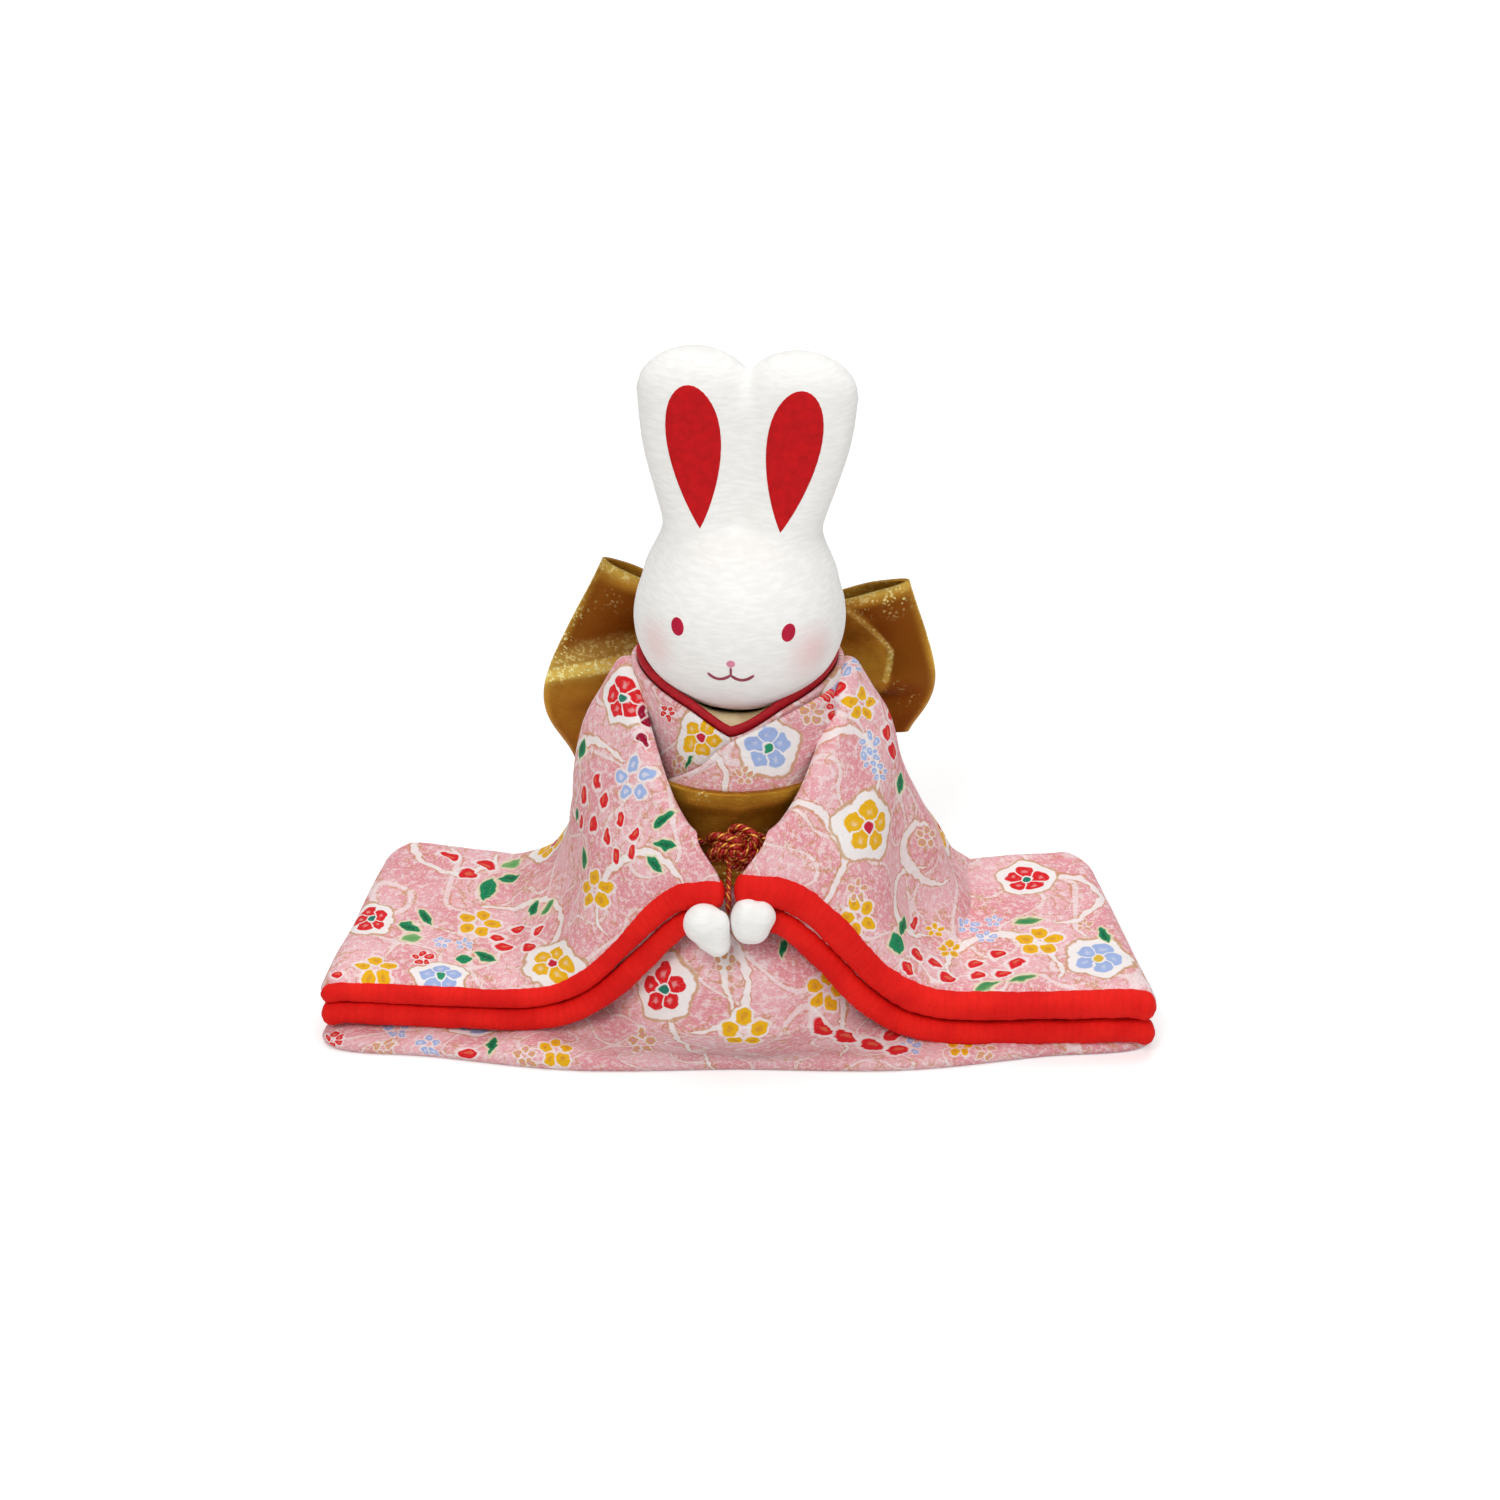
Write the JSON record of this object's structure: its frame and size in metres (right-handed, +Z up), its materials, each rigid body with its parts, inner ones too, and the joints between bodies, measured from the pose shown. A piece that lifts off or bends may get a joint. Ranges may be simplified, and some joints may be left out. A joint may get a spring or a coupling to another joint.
{
  "type": "stuffed rabbit doll",
  "caption": "Seated cloth rabbit doll in a flowered pink robe, with spread sleeves, red cuff rolls, a gold sash and bow, and a head that turns on its neck.",
  "frame": {"origin": "middle of the flat felt base, on the surface that the doll sits on, near the foot of the neck's axis", "axes": "+X to the doll's own left, which is the viewer's right; -Y to the front, where the face looks; +Z up"},
  "size_m": [0.128, 0.0601, 0.1029],
  "materials": {
    "kimono_crepe": "printed crinkled crepe, pink with small flowers, matte",
    "red_crepe": "rolled crinkled crepe, bright red, matte",
    "red_silk": "plain dark red silk edging, soft sheen",
    "gold_brocade": "gold metallic brocade with glitter, shiny",
    "white_crepe": "white fibrous cloth over a moulded form, matte, with a faint pink blush on the cheeks and chin",
    "ear_red": "red cloth set into the ears, matte",
    "eye_red": "dark red painted ovals, satin",
    "rose_paint": "dusky rose painted nose and mouth, matte",
    "twisted_cord": "red cord twisted with gold thread",
    "cotton": "cotton wadding, inside the doll",
    "pellets": "bag of plastic pellets, inside the doll",
    "board": "grey board, inside the doll",
    "dowel": "plain wooden dowel, inside the neck"
  },
  "bodies": {
    "torso": {"base_felt": "red_crepe", "base_board": "board", "ballast_bag": "pellets", "body_core": "cotton", "neck_tube": "board", "kimono_skirt": "kimono_crepe", "kimono_bodice": "kimono_crepe", "left_front_panel": "kimono_crepe", "red_under_collar": "red_silk", "gold_neck_filler": "gold_brocade", "gold_sash": "gold_brocade", "sash_cord": "twisted_cord", "sash_cord_rosette": "twisted_cord", "bow_left_loop": "gold_brocade", "bow_right_loop": "gold_brocade", "bow_knot": "gold_brocade", "left_arm": "white_crepe", "left_paw": "white_crepe", "left_sleeve_outer": "kimono_crepe", "left_sleeve_under": "kimono_crepe", "left_sleeve_wadding": "cotton", "left_cuff_upper_trim": "red_crepe", "left_cuff_lower_trim": "red_crepe", "right_arm": "white_crepe", "right_paw": "white_crepe", "right_sleeve_outer": "kimono_crepe", "right_sleeve_under": "kimono_crepe", "right_sleeve_wadding": "cotton", "right_cuff_upper_trim": "red_crepe", "right_cuff_lower_trim": "red_crepe"},
    "head_assembly": {"head": "white_crepe", "neck_dowel": "dowel", "left_ear_lining": "ear_red", "right_ear_lining": "ear_red", "left_eye": "eye_red", "right_eye": "eye_red", "nose": "rose_paint", "mouth": "rose_paint"}
  },
  "joints": [
    {"name": "head_turn", "type": "hinge", "parent": "torso", "child": "head_assembly", "pos_m": [0, -0.001, 0.047], "axis": [0.0209, 0, 0.9998], "range_deg": [-30, 30]}
  ]
}
